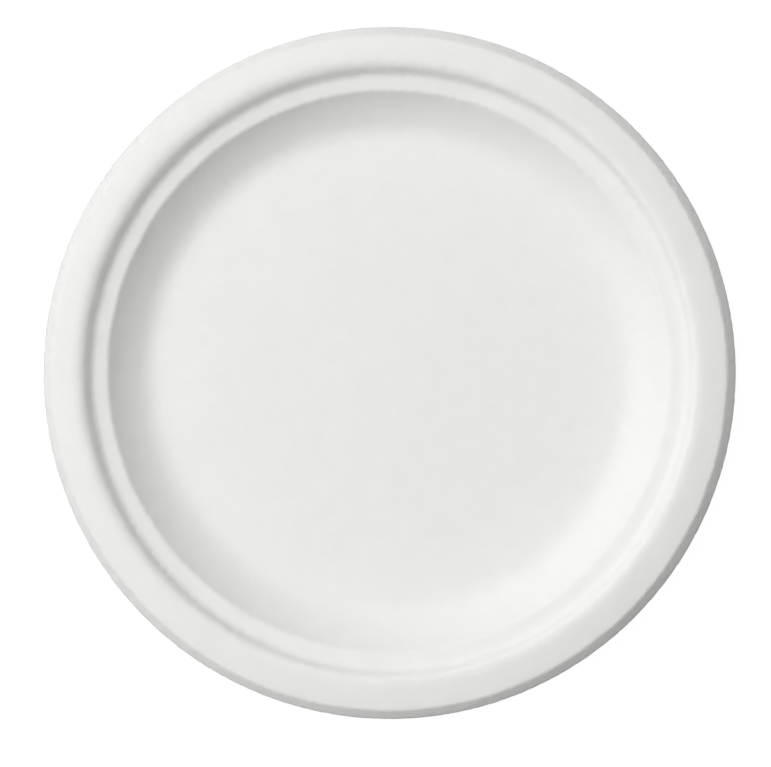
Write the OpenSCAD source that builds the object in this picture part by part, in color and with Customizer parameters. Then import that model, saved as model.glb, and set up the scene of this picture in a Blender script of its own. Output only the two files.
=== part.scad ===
// Round plate of moulded fibre: one sheet of even thickness, pressed to shape from wet pulp and then
// trimmed round its edge. The origin is the centre of the underside, where the plate stands, +Z up.
// Its section runs from the centre outwards as straight legs, with a round bend at the end of each
// leg that is tangent to it. A leg of no length joins two bends of unlike radius. Lengths, radii and
// slopes are those of the middle of the sheet. A width is measured level, and a slope is in degrees
// above the table.

/* [Plate] */
// Diameter over the trimmed edge
plate_d = 230; // [200:1:270]
// Height from the table to the top of the brim
plate_h = 18; // [15:0.1:24]
// Thickness of the pressed sheet
sheet_t = 0.65; // [0.4:0.05:1]

/* [Side wall] */
// Slope of the side wall at its top
side_slope = 53.5; // [42:0.5:65]
// How much flatter the side wall is at its foot, in degrees
side_bow = 19.5; // [8:0.5:30]
// Radius of the foot, the bend between the floor and the side wall
foot_r = 12.6; // [8:0.1:16]
// Radius of the lip, where the side wall turns out into the ledge
lip_r = 2.5; // [1:0.1:4]

/* [Ledge] */
// Width of the narrow ledge above the side wall
ledge_w = 3.1; // [1.5:0.1:8]
// Slope of the ledge, which rises outwards
ledge_slope = 11; // [0:0.5:20]

/* [Riser] */
// Height that the short riser above the ledge gains, with the bends below and above it
riser_h = 5; // [4.6:0.1:7]
// Slope of the riser
riser_slope = 60; // [40:1:64]
// Radius of the corner between the ledge and the riser
corner_r = 3.5; // [1.5:0.1:4.5]
// Radius of the crown, where the riser turns over
crown_r = 3.3; // [2:0.1:4.5]
// Slope at which the crown passes into the gentler bend behind it
crown_slope = 10; // [6:1:18]
// Radius of that gentler bend, which ends on the brim
brow_r = 10; // [4:0.1:15]

/* [Brim] */
// Width of the brim between its two bends
brim_w = 5.8; // [3:0.1:15]
// Slope of the brim at its inside, where it starts to fall outwards
brim_slope = 2.5; // [0:0.5:8]
// How much more the brim falls at its outside, in degrees
brim_bow = 3; // [1:0.5:8]

/* [Edge] */
// Radius of the bend where the brim turns down
edge_r = 1.8; // [1:0.1:4]
// Slope of the turned-down edge, which falls outwards
edge_slope = 42; // [30:1:60]
// Width of the turned-down edge below its bend, as far as the trim cut
edge_w = 2.7; // [1:0.1:5]

/* [Hidden] */
// Largest turn between two neighbouring points of a bend, in degrees
bend_step = 5;
// Sides of the round form in a view
view_sides = 240;

// Height gained and level distance covered by a bend of radius r between slopes a and b
function bend_rise(r, a, b) = sign(b - a) * r * (cos(a) - cos(b));
function bend_run(r, a, b) = abs(sin(b) - sin(a)) * r;

// The riser's straight leg takes up the height that its three bends leave
riser_straight_h = riser_h - bend_rise(corner_r, ledge_slope, riser_slope)
    - bend_rise(crown_r, riser_slope, crown_slope) - bend_rise(brow_r, crown_slope, 0);
riser_leg = riser_straight_h / sin(riser_slope);
ledge_leg = ledge_w / cos(ledge_slope);

// The side wall is one large bend, and its radius takes up the height that all the rest leaves
foot_slope = side_slope - side_bow;
side_h = plate_h - sheet_t - bend_rise(foot_r, 0, foot_slope) - bend_rise(lip_r, side_slope, ledge_slope)
    - ledge_w * tan(ledge_slope) - riser_h;
side_r = side_h / bend_rise(1, foot_slope, side_slope);

// The brim is a large bend too, and its radius follows from its width
brim_end_slope = brim_slope + brim_bow;
brim_r = brim_w / bend_run(1, brim_slope, brim_end_slope);

// The flat floor takes up the radius that all the rest leaves
side_w = bend_run(foot_r, 0, foot_slope) + bend_run(side_r, foot_slope, side_slope);
lip_and_ledge_w = bend_run(lip_r, side_slope, ledge_slope) + ledge_w;
riser_w = bend_run(corner_r, ledge_slope, riser_slope) + riser_leg * cos(riser_slope)
    + bend_run(crown_r, riser_slope, crown_slope) + bend_run(brow_r, crown_slope, -brim_slope);
rim_w = brim_w + bend_run(edge_r, brim_end_slope, edge_slope) + edge_w;
floor_r = plate_d / 2 - side_w - lip_and_ledge_w - riser_w - rim_w;

// Each leg is its length, then the radius of the bend at its end and the slope it bends to
legs = [
    [floor_r, foot_r, foot_slope],
    [0, side_r, side_slope],
    [0, lip_r, ledge_slope],
    [ledge_leg, corner_r, riser_slope],
    [riser_leg, crown_r, crown_slope],
    [0, brow_r, -brim_slope],
    [0, brim_r, -brim_end_slope],
    [0, edge_r, -edge_slope],
];

// Directions along the sheet and out of its upper face, where the sheet has a slope
function along(slope) = [cos(slope), sin(slope)];
function out_of(slope) = [-sin(slope), cos(slope)];

// Slope of a leg, which is the one that the bend before it ends with
function leg_slope(i) = i == 0 ? 0 : legs[i - 1][2];
// Bend radius of a leg, above zero where the sheet turns upwards
function turn_r(i) = sign(legs[i][2] - leg_slope(i)) * legs[i][1];
// Place on the middle of the sheet where a leg starts, as radius and height
function leg_start(i) = i == 0 ? [0, sheet_t / 2]
    : bend_centre(i - 1) - turn_r(i - 1) * out_of(leg_slope(i));
// Centre of the bend at the end of a leg
function bend_centre(i) = leg_start(i) + legs[i][0] * along(leg_slope(i)) + turn_r(i) * out_of(leg_slope(i));

// Points of the bend at the end of a leg, on the face that lies a given distance off the middle. A
// bend that follows on another starts at the last point of that one, which isn't given twice.
function bend_points(i, off) =
    let (from = leg_slope(i), turn = legs[i][2] - from, steps = ceil(abs(turn) / bend_step))
    [for (k = [legs[i][0] > 0 ? 0 : 1 : steps]) bend_centre(i) + (off - turn_r(i)) * out_of(from + turn * k / steps)];
function face_points(off) = [for (i = [0 : len(legs) - 1]) each bend_points(i, off)];

// Height of the middle of the sheet at the trim cut, and half the cut's height
edge_start = leg_start(len(legs));
trim_z = edge_start.y - (plate_d / 2 - edge_start.x) * tan(edge_slope);
half_cut = sheet_t / 2 / cos(edge_slope);

function reversed(list) = [for (i = [len(list) - 1 : -1 : 0]) list[i]];

module plate_section() {
    upper = [[0, sheet_t], each face_points(sheet_t / 2), [plate_d / 2, trim_z + half_cut]];
    lower = [[0, 0], each face_points(-sheet_t / 2), [plate_d / 2, trim_z - half_cut]];
    polygon([each upper, each reversed(lower)]);
}

module plate() {
    color("whitesmoke") rotate_extrude($fn = view_sides) plate_section();
}

plate();
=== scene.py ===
import math
import bpy
import numpy as np
from mathutils import Matrix, Vector


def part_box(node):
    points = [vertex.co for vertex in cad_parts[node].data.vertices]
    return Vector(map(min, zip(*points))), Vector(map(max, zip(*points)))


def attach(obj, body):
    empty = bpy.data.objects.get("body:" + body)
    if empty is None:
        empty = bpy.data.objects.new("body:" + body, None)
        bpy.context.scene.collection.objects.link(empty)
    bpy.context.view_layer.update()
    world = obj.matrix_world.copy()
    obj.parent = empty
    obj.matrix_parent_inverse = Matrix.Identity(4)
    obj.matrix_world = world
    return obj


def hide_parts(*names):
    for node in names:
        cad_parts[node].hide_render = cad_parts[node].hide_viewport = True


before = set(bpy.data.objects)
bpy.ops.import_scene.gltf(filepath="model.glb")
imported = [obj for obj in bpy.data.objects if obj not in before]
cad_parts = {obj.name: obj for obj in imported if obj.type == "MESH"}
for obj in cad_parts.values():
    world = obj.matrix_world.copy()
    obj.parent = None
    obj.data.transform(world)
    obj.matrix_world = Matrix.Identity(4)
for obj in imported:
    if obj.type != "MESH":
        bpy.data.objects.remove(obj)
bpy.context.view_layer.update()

# The pressed sheet. One layer of white plant fibre, felted on a wire screen from wet pulp, pressed
# hot between two dies and cut round its edge. Its section is the same all round, apart from what
# drying, the slip of the dies and the fibres in the sharp bends do to it.
plate_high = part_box("plate")[1]
trim_r = plate_high.x
sheet_t = 0.00065
foot_slope, side_slope, ledge_slope = (math.radians(degrees) for degrees in (34, 53.5, 11))
riser_slope, crown_slope = (math.radians(degrees) for degrees in (60, 10))
brim_slope, brim_end_slope, edge_slope = (math.radians(degrees) for degrees in (-2.5, -5.5, -42))
foot_r, lip_r, corner_r = 0.0126, 0.0025, 0.0035
crown_r, brow_r, edge_r = 0.0033, 0.0100, 0.0018
ledge_w, brim_w, edge_w = 0.0031, 0.0058, 0.0027
riser_h = 0.0050


def bend_rise(radius, start, end):
    """Height that a bend of this radius gains while the slope goes from start to end."""
    return math.copysign(radius, end - start) * (math.cos(start) - math.cos(end))


def bend_run(radius, start, end):
    """Level distance that the same bend covers."""
    return radius * abs(math.sin(end) - math.sin(start))


riser_straight_h = (riser_h - bend_rise(corner_r, ledge_slope, riser_slope)
                    - bend_rise(crown_r, riser_slope, crown_slope) - bend_rise(brow_r, crown_slope, 0))
riser_leg = riser_straight_h / math.sin(riser_slope)
side_h = (plate_high.z - sheet_t - riser_h - ledge_w * math.tan(ledge_slope)
          - bend_rise(foot_r, 0, foot_slope) - bend_rise(lip_r, side_slope, ledge_slope))
side_r = side_h / bend_rise(1, foot_slope, side_slope)
side_w = bend_run(foot_r, 0, foot_slope) + bend_run(side_r, foot_slope, side_slope)
ledge_and_lip_w = bend_run(lip_r, side_slope, ledge_slope) + ledge_w
riser_w = (bend_run(corner_r, ledge_slope, riser_slope) + riser_leg * math.cos(riser_slope)
           + bend_run(crown_r, riser_slope, crown_slope) + bend_run(brow_r, crown_slope, brim_slope))
rim_w = brim_w + bend_run(edge_r, brim_end_slope, edge_slope) + edge_w
brim_r = brim_w / bend_run(1, brim_slope, brim_end_slope)
floor_r = trim_r - side_w - ledge_and_lip_w - riser_w - rim_w

# Each bend: the straight leg before it, its radius, the slope it turns to, how many steps it is
# drawn in, how unevenly the fibre fills it, and how many rings are drawn on the leg before it.
bends = [
    (floor_r, foot_r, foot_slope, 7, 0.02, 12),
    (0.0, side_r, side_slope, 8, 0.01, 0),
    (0.0, lip_r, ledge_slope, 7, 0.1, 0),
    (ledge_w / math.cos(ledge_slope), corner_r, riser_slope, 7, 0.2, 2),
    (riser_leg, crown_r, crown_slope, 8, 0.15, 1),
    (0.0, brow_r, brim_slope, 4, 0.0, 0),
    (0.0, brim_r, brim_end_slope, 4, 0.0, 0),
    (0.0, edge_r, edge_slope, 6, 0.1, 0),
]

# Points round each ring, and about the shortest wave that they can draw at the trimmed edge
around = 800
short_wave = 0.0024
turn = np.linspace(0, 2 * math.pi, around, endpoint=False)
chance = np.random.RandomState(23)


def wander(radius, longest, shortest):
    """An uneven run round the plate of about 1 at most, made of waves between these two lengths."""
    girth = 2 * math.pi * radius
    counts = np.arange(math.ceil(girth / longest), math.floor(girth / shortest) + 1)
    heights = chance.normal(size=len(counts))[:, None]
    shifts = chance.uniform(0, 2 * math.pi, len(counts))[:, None]
    run = (heights * np.cos(counts[:, None] * turn + shifts)).sum(0)
    return run / (2 * run.std())


def along(slope):
    """Direction along the sheet, as radius and height."""
    return np.array([math.cos(slope), math.sin(slope)])[:, None]


def out_of(slope):
    """Direction out of the sheet's upper face."""
    return np.array([-math.sin(slope), math.cos(slope)])[:, None]


# Where the middle lines of neighbouring legs cross, and the radius of the bend there round the plate
crossings = []
here = np.array([[0.0], [sheet_t / 2]])
slope = 0.0
for leg, radius, next_slope, _, uneven, _ in bends:
    reach = radius * math.tan(abs(next_slope - slope) / 2)
    here = here + (leg + reach) * along(slope)
    crossings.append((here, radius * (1 + uneven * wander(here[0, 0], 0.02, short_wave))))
    here = here + reach * along(next_slope)
    slope = next_slope

# The trimming die cuts a line that strays by this much, and draws the last of the edge down a little
trim_stray = 0.00006
trim_line = trim_r - trim_stray * (1 + wander(trim_r, 0.03, short_wave))
drawn_down = 0.0001


def face_rings(off, fineness):
    """Rings from the centre to the trim cut, on the face that lies this far off the sheet's middle."""
    made = []
    last = np.tile(np.array([[0.0], [sheet_t / 2 + off]]), around)
    slope = 0.0
    for (crossing, radius), (leg, _, next_slope, steps, _, leg_rings) in zip(crossings, bends):
        steps, leg_rings = round(steps * fineness), round(leg_rings * fineness)
        side = math.copysign(1, next_slope - slope)
        reach = radius * math.tan(abs(next_slope - slope) / 2)
        centre = crossing - reach * along(slope) + side * radius * out_of(slope)
        slopes = np.linspace(slope, next_slope, steps + 1)
        curve = [centre + (off - side * radius) * out_of(a) for a in slopes]
        made += [last + (curve[0] - last) * k / (leg_rings + 1) for k in range(1, leg_rings + 1)]
        made += curve if leg else curve[1:]
        last = curve[-1]
        slope = next_slope
    cut = np.stack([trim_line, last[1] + (trim_line - last[0]) * math.tan(slope)])
    down = np.array([[0.0], [drawn_down]])
    made += [last + (cut - last) * share - down * share ** 2 for share in (0.25, 0.5, 0.75, 0.93)]
    return made, cut - down


upper, upper_cut = face_rings(sheet_t / 2, 1)
under, under_cut = face_rings(-sheet_t / 2, 0.5)
# The cut's corners are worn round: each ring of the cut is its share of the way down, how far it is
# set in, and how much it follows the ragged fibre ends
ragged = 0.00006 * wander(trim_r, 0.01, 0.003)
cut_shape = [
    (0.04, 0.00008, 0.0),
    (0.12, 0.00002, 0.0),
    (0.25, 0.0, 0.5),
    (0.45, 0.0, 1.0),
    (0.7, 0.0, -1.0),
    (0.9, 0.00002, 0.0),
    (0.98, 0.00008, 0.0),
]
cut_rings = [upper_cut + (under_cut - upper_cut) * share + np.stack([ragged * follow - inset, 0 * turn])
             for share, inset, follow in cut_shape]
rings = upper + cut_rings + under[::-1]

# A flat sheet of pulp never dries quite flat: long low waves cross it, and its rim rises and falls
wave_count = 40
wave_lengths = chance.uniform(0.014, 0.05, wave_count)
wave_turns = chance.uniform(0, 2 * math.pi, wave_count)
wave_shifts = chance.uniform(0, 2 * math.pi, wave_count)
wave_height = 0.00006
rim_lift = 0.00012 * wander(trim_r, 0.4, 0.2)


def settle(x, y, z):
    """Adds the dried sheet's waves to the heights of points, and the rise and fall of its rim."""
    lift = np.zeros_like(z)
    for length, direction, shift in zip(wave_lengths, wave_turns, wave_shifts):
        across = x * math.cos(direction) + y * math.sin(direction)
        lift += np.cos(2 * math.pi / length * across + shift)
    reach = np.clip((np.hypot(x, y) - floor_r) / (trim_r - floor_r), 0, 1)
    return z + wave_height * lift / math.sqrt(wave_count) + rim_lift * reach ** 2


# No line of the plate is a true circle. The two dies never sit quite true over each other, which
# carries the lip and the crown to one side and makes the crown a little oval. Each row is a radius,
# how far its line is carried, and how oval it is.
slip_turn, oval_turn = math.radians(143), math.radians(135)
half_bend, crown_w = 0.0008, 0.0030
lip_line = floor_r + side_w
corner_line = lip_line + ledge_and_lip_w + half_bend
brim_line = trim_r - rim_w
crown_line = brim_line - crown_w
edge_line = trim_r - edge_w
slips = [
    (floor_r, 0.0, 0.0),
    (lip_line, 0.00045, 0.0),
    (corner_line - half_bend, 0.0002, 0.0),
    (corner_line + 0.0014, 0.00025, 0.0),
    (crown_line, 0.00093, 0.0002),
    (brim_line, 0.00088, 0.0002),
    (edge_line, 0.0002, 0.0),
    (trim_r, 0.0, 0.0),
]
# Soft pulp leaves the sharp bends ragged: each one's radius, and how far its line strays
ragged_lines = [
    (lip_line + half_bend, 0.00013),
    (corner_line, 0.00013),
    (crown_line, 0.00013),
    (edge_line - 0.0005, 0.00009),
]
ragged_bends = [(radius, rough * wander(radius, 0.06, 0.012) + rough * wander(radius, 0.012, short_wave))
                for radius, rough in ragged_lines]
# A bend's line strays by all of that this far on either side of it, and by none of it past the reach
stray_full, stray_reach = 0.0008, 0.0026


def pushed(radius):
    """A ring's radii round the plate, with the dies' slip and the stray of the ragged bends near it."""
    line_radii, carried, oval = zip(*slips)
    moved = radius + np.interp(radius, line_radii, carried) * np.cos(turn - slip_turn)
    moved += np.interp(radius, line_radii, oval) * np.cos(2 * (turn - oval_turn))
    for line, stray in ragged_bends:
        near = np.clip((stray_reach - abs(radius - line)) / (stray_reach - stray_full), 0, 1)
        moved += stray * near
    return moved


# The trimming die never sits quite on the middle of the pressed form: the well and the crown lie a
# little off the trimmed edge's middle, and the brim is wider on the side away from them
off_centre, off_turn = 0.00028, math.radians(60)
points = []
for radius, height in rings:
    off = off_centre * np.clip((edge_line - radius) / brim_w, 0, 1)
    x = pushed(radius) * np.cos(turn) + off * math.cos(off_turn)
    y = pushed(radius) * np.sin(turn) + off * math.sin(off_turn)
    points.append(np.stack([x, y, settle(x, y, height)], 1))
points = np.concatenate(points)
crown_top = points[:, 2].max()
points[:, 2] = np.maximum(points[:, 2], 0) * plate_high.z / crown_top
top_centre, under_centre = len(points), len(points) + 1
centres = [[0, 0, points[:around, 2].mean()], [0, 0, points[-around:, 2].mean()]]
points = np.concatenate([points, centres])

faces, finishes = [], []
UPPER, CUT, UNDER = range(3)
for k in range(len(rings) - 1):
    finish = UPPER if k < len(upper) else CUT if k < len(upper) + len(cut_rings) - 1 else UNDER
    for i in range(around):
        j = (i + 1) % around
        inner, outer = k * around, (k + 1) * around
        faces.append((inner + i, outer + i, outer + j, inner + j))
        finishes.append(finish)
last_ring = (len(rings) - 1) * around
for i in range(around):
    j = (i + 1) % around
    faces.append((top_centre, i, j))
    faces.append((under_centre, last_ring + j, last_ring + i))
    finishes += [UPPER, UNDER]

mesh = bpy.data.meshes.new("pressed_sheet")
mesh.from_pydata(points.tolist(), [], faces)
mesh.polygons.foreach_set("material_index", finishes)
mesh.polygons.foreach_set("use_smooth", [True] * len(faces))
mesh.update()
plate = bpy.data.objects.new("pressed_plate", mesh)
bpy.context.scene.collection.objects.link(plate)
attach(plate, "root")
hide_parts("plate")


# The sheet's finish. Its white comes from the pulp itself, with no coat, so it is matt all over. The
# nodes below make what all its faces share: fibres, wire marks and clouds of pulp.
def add(tree, kind, settings=None, inputs=None):
    """A new node in a tree, with its settings, and a value or a link for each named input."""
    node = tree.nodes.new(kind)
    for name, value in (settings or {}).items():
        setattr(node, name, value)
    for name, value in (inputs or {}).items():
        if isinstance(value, bpy.types.NodeSocket):
            tree.links.new(value, node.inputs[name])
        else:
            node.inputs[name].default_value = value
    return node


def new_group(name, inputs, outputs):
    """An empty shader group with these sockets, with its input and output nodes."""
    group = bpy.data.node_groups.new(name, "ShaderNodeTree")
    for socket, kind in inputs:
        group.interface.new_socket(socket, in_out="INPUT", socket_type=kind)
    for socket, kind in outputs:
        group.interface.new_socket(socket, in_out="OUTPUT", socket_type=kind)
    return group, group.nodes.new("NodeGroupInput").outputs, group.nodes.new("NodeGroupOutput").inputs


# Fibres of the felt. They lie in the sheet in all directions, so three layers of long narrow ridges
# are laid across each other, each on noise that is drawn out along the fibres.
felt, felt_in, felt_out = new_group(
    "felted_fibres",
    [("Position", "NodeSocketVector"), ("Fibre Width", "NodeSocketFloat"),
     ("Slenderness", "NodeSocketFloat")],
    [("Height", "NodeSocketFloat")])
per_width = add(felt, "ShaderNodeMath", {"operation": "DIVIDE"},
                {0: 1.0, 1: felt_in["Fibre Width"]}).outputs[0]
in_widths = add(felt, "ShaderNodeVectorMath", {"operation": "SCALE"},
                {"Vector": felt_in["Position"], "Scale": per_width}).outputs["Vector"]
curl = add(felt, "ShaderNodeTexNoise", {"noise_dimensions": "3D"},
           {"Vector": in_widths, "Scale": 0.08, "Detail": 1.0}).outputs["Color"]
curl = add(felt, "ShaderNodeVectorMath", {"operation": "SCALE"},
           {"Vector": curl, "Scale": 7.0}).outputs["Vector"]
curled = add(felt, "ShaderNodeVectorMath", {"operation": "ADD"},
             {0: in_widths, 1: curl}).outputs["Vector"]
slender = add(felt, "ShaderNodeMath", {"operation": "DIVIDE"},
              {0: 1.0, 1: felt_in["Slenderness"]}).outputs[0]
stretch = add(felt, "ShaderNodeCombineXYZ", {}, {"X": slender, "Y": 1.0, "Z": 1.0}).outputs["Vector"]
layers = []
for lay_angle in (12, 75, 138):
    turned = add(felt, "ShaderNodeVectorRotate", {"rotation_type": "Z_AXIS"},
                 {"Vector": curled, "Angle": math.radians(lay_angle)}).outputs["Vector"]
    drawn = add(felt, "ShaderNodeVectorMath", {"operation": "MULTIPLY"},
                {0: turned, 1: stretch}).outputs["Vector"]
    grain = add(felt, "ShaderNodeTexNoise", {"noise_dimensions": "3D"},
                {"Vector": drawn, "Scale": 0.5, "Detail": 1.0}).outputs["Fac"]
    off_middle = add(felt, "ShaderNodeMath", {"operation": "SUBTRACT"}, {0: grain, 1: 0.5}).outputs[0]
    fold = add(felt, "ShaderNodeMath", {"operation": "ABSOLUTE"}, {0: off_middle}).outputs[0]
    layers.append(add(felt, "ShaderNodeMapRange", {"interpolation_type": "SMOOTHSTEP"},
                      {"Value": fold, "From Min": 0.12, "From Max": 0.0}).outputs["Result"])
over = add(felt, "ShaderNodeMath", {"operation": "MAXIMUM"}, {0: layers[0], 1: layers[1]}).outputs[0]
over = add(felt, "ShaderNodeMath", {"operation": "MAXIMUM"}, {0: over, 1: layers[2]}).outputs[0]
felt.links.new(over, felt_out["Height"])

# Print of the wire screen. Each wire leaves a shallow groove and each hole a low round bump.
screen, screen_in, screen_out = new_group(
    "screen_print", [("Position", "NodeSocketVector"), ("Pitch", "NodeSocketFloat")],
    [("Height", "NodeSocketFloat")])
per_wire = add(screen, "ShaderNodeMath", {"operation": "DIVIDE"},
               {0: 2 * math.pi, 1: screen_in["Pitch"]}).outputs[0]
waver = add(screen, "ShaderNodeTexNoise", {"noise_dimensions": "3D"},
            {"Vector": screen_in["Position"], "Scale": 60.0, "Detail": 1.0}).outputs["Color"]
waver = add(screen, "ShaderNodeVectorMath", {"operation": "SCALE"},
            {"Vector": waver, "Scale": 0.0012}).outputs["Vector"]
strayed = add(screen, "ShaderNodeVectorMath", {"operation": "ADD"},
              {0: screen_in["Position"], 1: waver}).outputs["Vector"]
phase = add(screen, "ShaderNodeVectorMath", {"operation": "SCALE"},
            {"Vector": strayed, "Scale": per_wire}).outputs["Vector"]
phase = add(screen, "ShaderNodeSeparateXYZ", {}, {"Vector": phase}).outputs
across = add(screen, "ShaderNodeMath", {"operation": "SINE"}, {0: phase["X"]}).outputs[0]
down = add(screen, "ShaderNodeMath", {"operation": "SINE"}, {0: phase["Y"]}).outputs[0]
both = add(screen, "ShaderNodeMath", {"operation": "ADD"}, {0: across, 1: down}).outputs[0]
both = add(screen, "ShaderNodeMath", {"operation": "MULTIPLY_ADD"},
           {0: both, 1: 0.25, 2: 0.5}).outputs[0]
screen.links.new(both, screen_out["Height"])

# Formation of the sheet. Pulp settles a little thicker here and thinner there, so the white has
# faint clouds, and now and then a pale straw-coloured fleck of stalk.
cloudy, cloudy_in, cloudy_out = new_group(
    "pulp_clouds", [("Position", "NodeSocketVector"), ("Cloud Size", "NodeSocketFloat")],
    [("Cloud", "NodeSocketFloat"), ("Fleck", "NodeSocketFloat")])
per_cloud = add(cloudy, "ShaderNodeMath", {"operation": "DIVIDE"},
                {0: 1.0, 1: cloudy_in["Cloud Size"]}).outputs[0]
in_clouds = add(cloudy, "ShaderNodeVectorMath", {"operation": "SCALE"},
                {"Vector": cloudy_in["Position"], "Scale": per_cloud}).outputs["Vector"]
cloud = add(cloudy, "ShaderNodeTexNoise", {"noise_dimensions": "3D"},
            {"Vector": in_clouds, "Scale": 1.0, "Detail": 4.0, "Roughness": 0.6}).outputs["Fac"]
cloud = add(cloudy, "ShaderNodeMapRange", {},
            {"Value": cloud, "From Min": 0.3, "From Max": 0.7}).outputs["Result"]
cells = add(cloudy, "ShaderNodeTexVoronoi", {"voronoi_dimensions": "3D", "feature": "F1"},
            {"Vector": in_clouds, "Scale": 1.1}).outputs
chosen = add(cloudy, "ShaderNodeSeparateColor", {}, {"Color": cells["Color"]}).outputs
rare = add(cloudy, "ShaderNodeMath", {"operation": "GREATER_THAN"},
           {0: chosen["Red"], 1: 0.93}).outputs[0]
near = add(cloudy, "ShaderNodeMapRange", {},
           {"Value": cells["Distance"], "From Min": 0.05, "From Max": 0.02}).outputs["Result"]
fleck = add(cloudy, "ShaderNodeMath", {"operation": "MULTIPLY"}, {0: rare, 1: near}).outputs[0]
cloudy.links.new(cloud, cloudy_out["Cloud"])
cloudy.links.new(fleck, cloudy_out["Fleck"])


# The trimming die has loosened the fibres near the edge. This far in from it they start to rise, and
# from the second place outwards they stand this many times as high and lie in wider tufts.
loosened_from, loosened_to = trim_r - 0.0045, trim_r - 0.0025
loosening = 4
tuft_width, tuft_relief = 0.0006, 0.00007
cloud_size, cockle_relief = 0.007, 0.00008
wire_pitch = 0.0009
straw = (0.74, 0.71, 0.65)


def pressed_fibre(name, thick_white, thin_white, fibre_width, fibre_relief, print_relief):
    """One face's finish: its two whites, its fibres' width and relief, and the screen print's relief."""
    material = bpy.data.materials.new(name)
    material.use_nodes = True
    tree = material.node_tree
    tree.nodes.clear()
    place = add(tree, "ShaderNodeTexCoord").outputs["Object"]
    clouds = add(tree, "ShaderNodeGroup", {"node_tree": cloudy},
                 {"Position": place, "Cloud Size": cloud_size}).outputs
    fibres = add(tree, "ShaderNodeGroup", {"node_tree": felt},
                 {"Position": place, "Fibre Width": fibre_width, "Slenderness": 9.0}).outputs["Height"]
    tufts = add(tree, "ShaderNodeGroup", {"node_tree": felt},
                {"Position": place, "Fibre Width": tuft_width, "Slenderness": 3.0}).outputs["Height"]
    wires = add(tree, "ShaderNodeGroup", {"node_tree": screen},
                {"Position": place, "Pitch": wire_pitch}).outputs["Height"]
    white = add(tree, "ShaderNodeMix", {"data_type": "RGBA"},
                {0: clouds["Cloud"], 6: (*thin_white, 1), 7: (*thick_white, 1)}).outputs[2]
    white = add(tree, "ShaderNodeMix", {"data_type": "RGBA"},
                {0: clouds["Fleck"], 6: white, 7: (*straw, 1)}).outputs[2]
    rough = add(tree, "ShaderNodeMapRange", {},
                {"Value": fibres, "To Min": 0.93, "To Max": 0.8}).outputs["Result"]
    flat_place = add(tree, "ShaderNodeVectorMath", {"operation": "MULTIPLY"},
                     {0: place, 1: (1, 1, 0)}).outputs["Vector"]
    from_axis = add(tree, "ShaderNodeVectorMath", {"operation": "LENGTH"},
                    {0: flat_place}).outputs["Value"]
    loose = add(tree, "ShaderNodeMapRange", {"interpolation_type": "SMOOTHSTEP"},
                {"Value": from_axis, "From Min": loosened_from, "From Max": loosened_to}).outputs["Result"]
    raised = add(tree, "ShaderNodeMath", {"operation": "MULTIPLY_ADD"},
                 {0: loose, 1: 1 - 1 / loosening, 2: 1 / loosening}).outputs[0]
    printed = add(tree, "ShaderNodeBump", {},
                  {"Strength": 1.0, "Distance": print_relief, "Height": wires}).outputs["Normal"]
    felted = add(tree, "ShaderNodeBump", {},
                 {"Strength": raised, "Distance": loosening * fibre_relief, "Height": fibres,
                  "Normal": printed}).outputs["Normal"]
    tufted = add(tree, "ShaderNodeBump", {},
                 {"Strength": loose, "Distance": tuft_relief, "Height": tufts,
                  "Normal": felted}).outputs["Normal"]
    cockled = add(tree, "ShaderNodeBump", {},
                  {"Strength": 1.0, "Distance": cockle_relief, "Height": clouds["Cloud"],
                   "Normal": tufted}).outputs["Normal"]
    shader = add(tree, "ShaderNodeBsdfPrincipled", {},
                 {"Base Color": white, "Roughness": rough, "Specular IOR Level": 0.3,
                  "Normal": cockled}).outputs["BSDF"]
    add(tree, "ShaderNodeOutputMaterial", {}, {"Surface": shader})
    return material


# The upper face, pressed smooth, then the trim cut, and then the under face with the screen's marks
mesh.materials.append(pressed_fibre("smooth_face", (0.815, 0.812, 0.799), (0.799, 0.795, 0.781),
                                    fibre_width=0.00012, fibre_relief=0.000006, print_relief=0.000004))
# The cut face's whites start from the cut fibres' own duller tone and are raised a little as painted
# light, so the shade along the trimmed edge shows less.
mesh.materials.append(pressed_fibre("cut_fibres_painted_paler", (0.812, 0.808, 0.792), (0.78, 0.775, 0.755),
                                    fibre_width=0.00010, fibre_relief=0.00005, print_relief=0.0))
mesh.materials.append(pressed_fibre("screened_face", (0.81, 0.806, 0.792), (0.787, 0.783, 0.766),
                                    fibre_width=0.00014, fibre_relief=0.000012, print_relief=0.00003))

# The table that it stands on, in white: to the camera it is a white ground that keeps the plate's
# shadow, and from below it is clear, so that the underside can be looked at. It lies a hair lower
# than the plate's own underside, so that the two never share a plane.
floor_side, floor_gap = 3.0, 0.0001
bpy.ops.mesh.primitive_plane_add(size=floor_side, location=(0, 0, -floor_gap))
table = bpy.context.object
table.name = "white_table"
table.visible_diffuse = False
ground = bpy.data.materials.new("white_ground")
ground.use_nodes = True
tree = ground.node_tree
tree.nodes.clear()
path = add(tree, "ShaderNodeLightPath").outputs
seen = add(tree, "ShaderNodeMath", {"operation": "ADD", "use_clamp": True},
           {0: path["Is Camera Ray"], 1: path["Is Glossy Ray"]}).outputs[0]
seen = add(tree, "ShaderNodeMath", {"operation": "ADD", "use_clamp": True},
           {0: seen, 1: path["Is Transmission Ray"]}).outputs[0]
matt = add(tree, "ShaderNodeBsdfDiffuse", {}, {"Color": (0.8, 0.8, 0.8, 1)}).outputs["BSDF"]
shade = add(tree, "ShaderNodeBsdfDiffuse", {}, {"Color": (0.09, 0.09, 0.09, 1)}).outputs["BSDF"]
glow = add(tree, "ShaderNodeEmission", {},
           {"Color": (1, 1, 1, 1), "Strength": 0.955}).outputs["Emission"]
shown = add(tree, "ShaderNodeAddShader", {}, {0: shade, 1: glow}).outputs["Shader"]
lit = add(tree, "ShaderNodeMixShader", {}, {0: seen, 1: matt, 2: shown}).outputs["Shader"]
clear = add(tree, "ShaderNodeBsdfTransparent").outputs["BSDF"]
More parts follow.
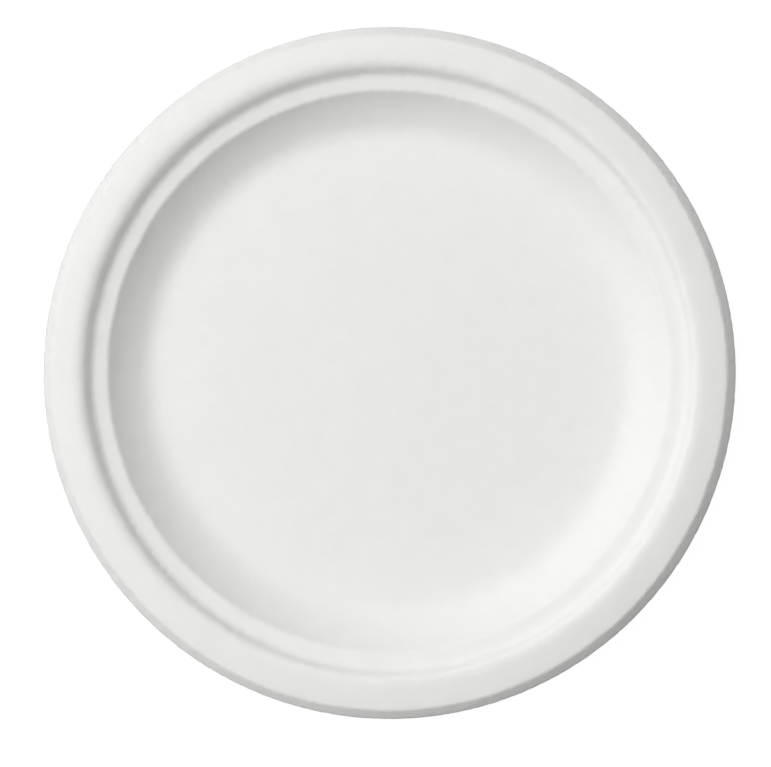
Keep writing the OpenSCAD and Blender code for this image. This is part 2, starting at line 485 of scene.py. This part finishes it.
behind = add(tree, "ShaderNodeNewGeometry").outputs["Backfacing"]
sided = add(tree, "ShaderNodeMixShader", {}, {0: behind, 1: lit, 2: clear}).outputs["Shader"]
add(tree, "ShaderNodeOutputMaterial", {}, {"Surface": sided})
table.data.materials.append(ground)

# Soft studio light. The white room is brightest below, on the side of the picture's upper right, and
# above it is brighter at the upper left. Two softboxes stand at the upper left, one more on either
# side of them, and one hangs over the plate. A colour that lies flat under all of it renders about
# as written.
room_level, side_level = 0.09, 0.205
under_level, under_side_level = 0.48, 0.45


def pointing(way_round, rise):
    """Unit vector that points this many degrees round the plate's axis and above the table."""
    way_round, rise = math.radians(way_round), math.radians(rise)
    level_part = math.cos(rise)
    return Vector((level_part * math.cos(way_round), level_part * math.sin(way_round), math.sin(rise)))


light_side = pointing(150, 45)
under_side = pointing(45, -25)
world = bpy.data.worlds.new("white_room")
bpy.context.scene.world = world
world.use_nodes = True
tree = world.node_tree
tree.nodes.clear()
path = add(tree, "ShaderNodeLightPath").outputs
seen = add(tree, "ShaderNodeMath", {"operation": "ADD", "use_clamp": True},
           {0: path["Is Camera Ray"], 1: path["Is Transmission Ray"]}).outputs[0]
heading = add(tree, "ShaderNodeTexCoord").outputs["Generated"]
height = add(tree, "ShaderNodeSeparateXYZ", {}, {"Vector": heading}).outputs["Z"]
above = add(tree, "ShaderNodeMath", {"operation": "GREATER_THAN"}, {0: height, 1: 0.0}).outputs[0]
levels = []
for side, start, low, high in ((under_side, 0.0, under_level, under_level + under_side_level),
                               (light_side, 0.2, room_level, room_level + side_level)):
    toward = add(tree, "ShaderNodeVectorMath", {"operation": "DOT_PRODUCT"},
                 {0: heading, 1: side}).outputs["Value"]
    levels.append(add(tree, "ShaderNodeMapRange", {"interpolation_type": "SMOOTHSTEP"},
                      {"Value": toward, "From Min": start, "From Max": 1.0,
                       "To Min": low, "To Max": high}).outputs["Result"])
level = add(tree, "ShaderNodeMix", {}, {0: above, 2: levels[0], 3: levels[1]}).outputs[0]
room_light = add(tree, "ShaderNodeBackground", {},
                 {"Color": (1, 1, 1, 1), "Strength": level}).outputs["Background"]
white_back = add(tree, "ShaderNodeBackground", {},
                 {"Color": (1, 1, 1, 1), "Strength": 1.0}).outputs["Background"]
mixed = add(tree, "ShaderNodeMixShader", {}, {0: seen, 1: room_light, 2: white_back}).outputs["Shader"]
add(tree, "ShaderNodeOutputWorld", {}, {"Surface": mixed})

# Each softbox: where it stands in degrees round the plate and above the table, how far off, its
# width and height, and its level
softboxes = [
    ("key_softbox", 150, 54, 1.2, 0.8, 0.8, 0.301),
    ("wide_softbox", 150, 44, 1.3, 1.5, 0.8, 0.361),
    ("right_softbox", 75, 44, 1.3, 1.5, 0.8, 0.16),
    ("left_softbox", 225, 44, 1.3, 1.5, 0.8, 0.17),
    ("top_softbox", 150, 89.9, 0.75, 0.6, 0.6, 0.249),
]
for name, lamp_turn, lamp_rise, away, width, tall, lamp_level in softboxes:
    light = bpy.data.lights.new(name, "AREA")
    light.shape = "RECTANGLE"
    light.size, light.size_y = width, tall
    light.energy = lamp_level * (math.pi * away) ** 2
    lamp = bpy.data.objects.new(name, light)
    lamp.visible_camera = False
    lamp.location = away * pointing(lamp_turn, lamp_rise)
    lamp.rotation_mode = "QUATERNION"
    lamp.rotation_quaternion = lamp.location.to_track_quat("Z", "Y")
    bpy.context.scene.collection.objects.link(lamp)

# The camera looks down on the plate as in the photograph, from a degree and a half off its axis. The
# plate's middle is a little above and to the right of the picture's middle.
picture_w, picture_h = 771, 767
plate_px = (389.35, 373.6)
plate_radius_px = 346.1
camera_away = 1.5
camera_lean, camera_turn = 1.5, 60
# The plate's outline in the picture is its trimmed edge, which is this high above the table
trim_z = 0.0145
per_px = trim_r / plate_radius_px
camera = bpy.data.cameras.new("camera")
camera.sensor_width = 36
camera.lens = camera.sensor_width * camera_away / (per_px * picture_w)
eye = bpy.data.objects.new("camera", camera)
aim = Vector(((picture_w / 2 - plate_px[0]) * per_px, (plate_px[1] - picture_h / 2) * per_px, trim_z))
up = Vector((0, 0, 1))
leaned = up.rotation_difference(pointing(camera_turn, 90 - camera_lean)).to_matrix().to_4x4()
eye.matrix_world = Matrix.Translation(aim) @ leaned @ Matrix.Translation(camera_away * up)
bpy.context.scene.collection.objects.link(eye)
bpy.context.scene.camera = eye
bpy.context.scene.view_settings.view_transform = "Standard"
